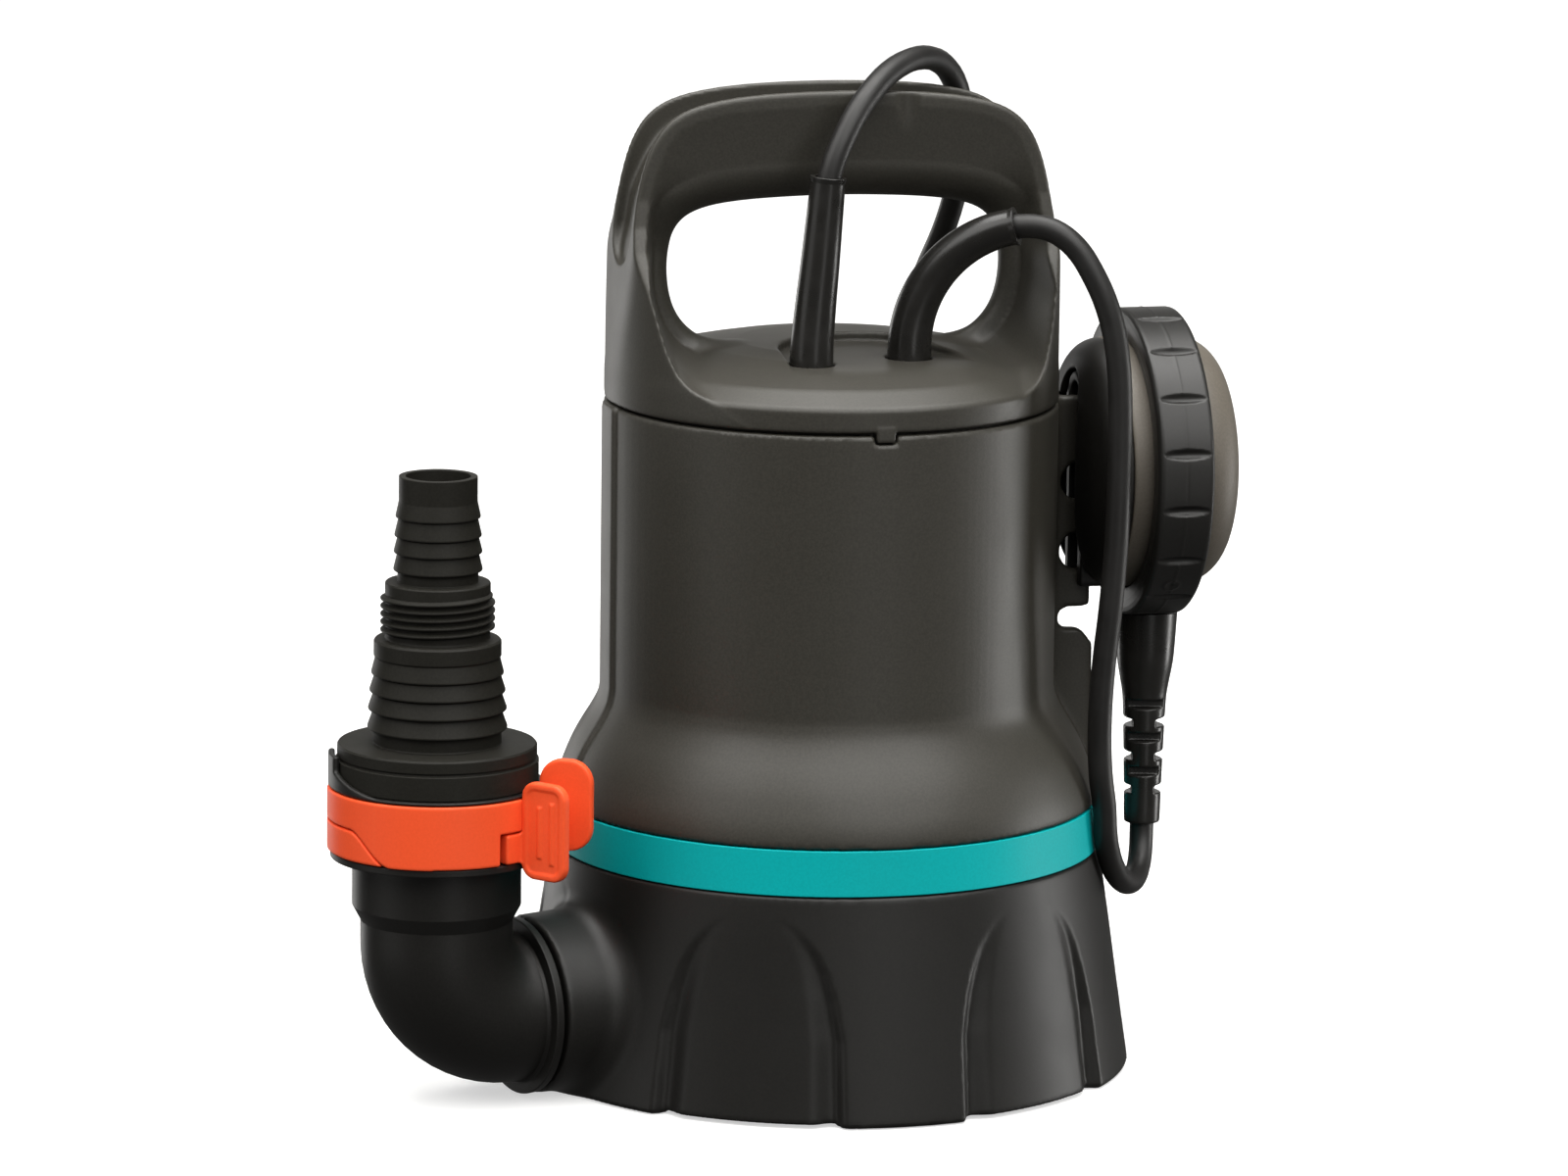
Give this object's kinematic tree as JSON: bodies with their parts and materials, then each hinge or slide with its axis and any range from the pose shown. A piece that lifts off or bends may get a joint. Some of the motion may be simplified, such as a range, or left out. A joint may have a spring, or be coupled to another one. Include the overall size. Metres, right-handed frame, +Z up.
{
  "type": "submersible sump pump",
  "caption": "Submersible clear-water pump with carrying handle, fluted foot, turnable outlet elbow with stepped hose adapter and locking ring, float switch on a rail and a coiled mains lead.",
  "frame": {"origin": "on the pump's vertical axis at floor level, in the middle of the foot", "axes": "+Z up, handle width along X, front of the pump towards -Y, outlet towards -X and slightly forward, float towards +X"},
  "size_m": [0.2818, 0.3514, 0.3042],
  "materials": {
    "anthracite_plastic": "fine moulded grain, satin",
    "black_plastic": "fine moulded grain, satin",
    "inner_plastic": "plain moulded",
    "teal_plastic": "satin",
    "orange_plastic": "satin",
    "taupe_plastic": "fine moulded grain",
    "lead_rubber": "matte",
    "moulded_rubber": "semi-gloss",
    "seal_rubber": "matte",
    "white_plastic": "plain moulded",
    "steel": "machined",
    "copper_wire": "enamelled wire",
    "aluminium": "cast",
    "switch_body": "plain"
  },
  "bodies": {
    "pump": {"motor_housing": "anthracite_plastic", "handle_cap": "anthracite_plastic", "pump_base": "black_plastic", "suction_plate": "inner_plastic", "volute_casing": "inner_plastic", "seal_carrier": "inner_plastic", "decor_ring": "teal_plastic", "power_cord": "lead_rubber", "power_cord_coil": "lead_rubber", "power_cord_end": "lead_rubber", "float_cord": "lead_rubber", "power_bend_sleeve": "moulded_rubber", "float_bend_sleeve": "moulded_rubber", "power_plug": "moulded_rubber", "power_gland": "moulded_rubber", "float_gland": "moulded_rubber", "cord_tie": "moulded_rubber", "volute_seal": "seal_rubber", "housing_gasket": "seal_rubber", "cap_seal": "seal_rubber", "shaft_seal": "seal_rubber", "terminal_block": "white_plastic", "lower_bearing": "steel", "upper_bearing": "steel", "motor_can": "steel", "base_screws": "steel", "suction_screws": "steel", "volute_screws": "steel", "stator_core": "steel", "lower_winding": "copper_wire", "upper_winding": "copper_wire", "upper_motor_cover": "aluminium", "run_capacitor": "aluminium", "thermal_switch": "switch_body"},
    "rotor": {"motor_shaft": "steel", "rotor_core": "steel", "impeller": "white_plastic", "impeller_nut": "steel"},
    "elbow": {"outlet_elbow": "black_plastic", "elbow_seal": "seal_rubber", "valve_seat": "white_plastic", "valve_pin": "steel"},
    "valve": {"valve_flap": "seal_rubber"},
    "clip_front": {"locking_clip_front": "orange_plastic"},
    "clip_rear": {"locking_clip_rear": "orange_plastic"},
    "adapter": {"hose_adapter": "black_plastic", "adapter_seal": "seal_rubber"},
    "float": {"float_inner_shell": "taupe_plastic", "float_outer_shell": "taupe_plastic", "float_ring": "black_plastic", "float_seal": "seal_rubber", "float_clip": "black_plastic", "ball_cage": "white_plastic", "micro_switch": "inner_plastic", "float_boot": "moulded_rubber"},
    "ball": {"switch_ball": "steel"}
  },
  "joints": [
    {"name": "rotor_spin", "type": "hinge", "parent": "pump", "child": "rotor", "pos_m": [0, 0, 0.09], "axis": [0, 0, 1], "continuous": true},
    {"name": "elbow_swivel", "type": "hinge", "parent": "pump", "child": "elbow", "pos_m": [-0.0906, -0.02857, 0.027], "axis": [-0.9537, -0.3007, 0], "range_deg": [-60, 60]},
    {"name": "valve_swing", "type": "hinge", "parent": "elbow", "child": "valve", "pos_m": [-0.11139, -0.03512, 0.0623], "axis": [-0.3007, 0.9537, 0], "range_deg": [0, 35]},
    {"name": "clip_front_squeeze", "type": "hinge", "parent": "elbow", "child": "clip_front", "pos_m": [-0.12589, -0.03969, 0.086], "axis": [0, 0, -1], "range_deg": [0, 2], "stiffness_Nm_per_rad": 2},
    {"name": "clip_rear_squeeze", "type": "hinge", "parent": "elbow", "child": "clip_rear", "pos_m": [-0.12589, -0.03969, 0.086], "axis": [0, 0, 1], "range_deg": [0, 2], "stiffness_Nm_per_rad": 2},
    {"name": "adapter_pull", "type": "slide", "parent": "elbow", "child": "adapter", "axis": [0, 0, 1], "range_m": [0, 0.022]},
    {"name": "float_lift", "type": "slide", "parent": "pump", "child": "float", "axis": [0, 0, 1], "range_m": [0, 0.06]},
    {"name": "ball_travel", "type": "slide", "parent": "float", "child": "ball", "axis": [0, 0, 1], "range_m": [0, 0.026]}
  ],
  "couplings": [
    {"joint": "clip_front_squeeze", "follows": "clip_rear_squeeze", "ratio": 1}
  ]
}
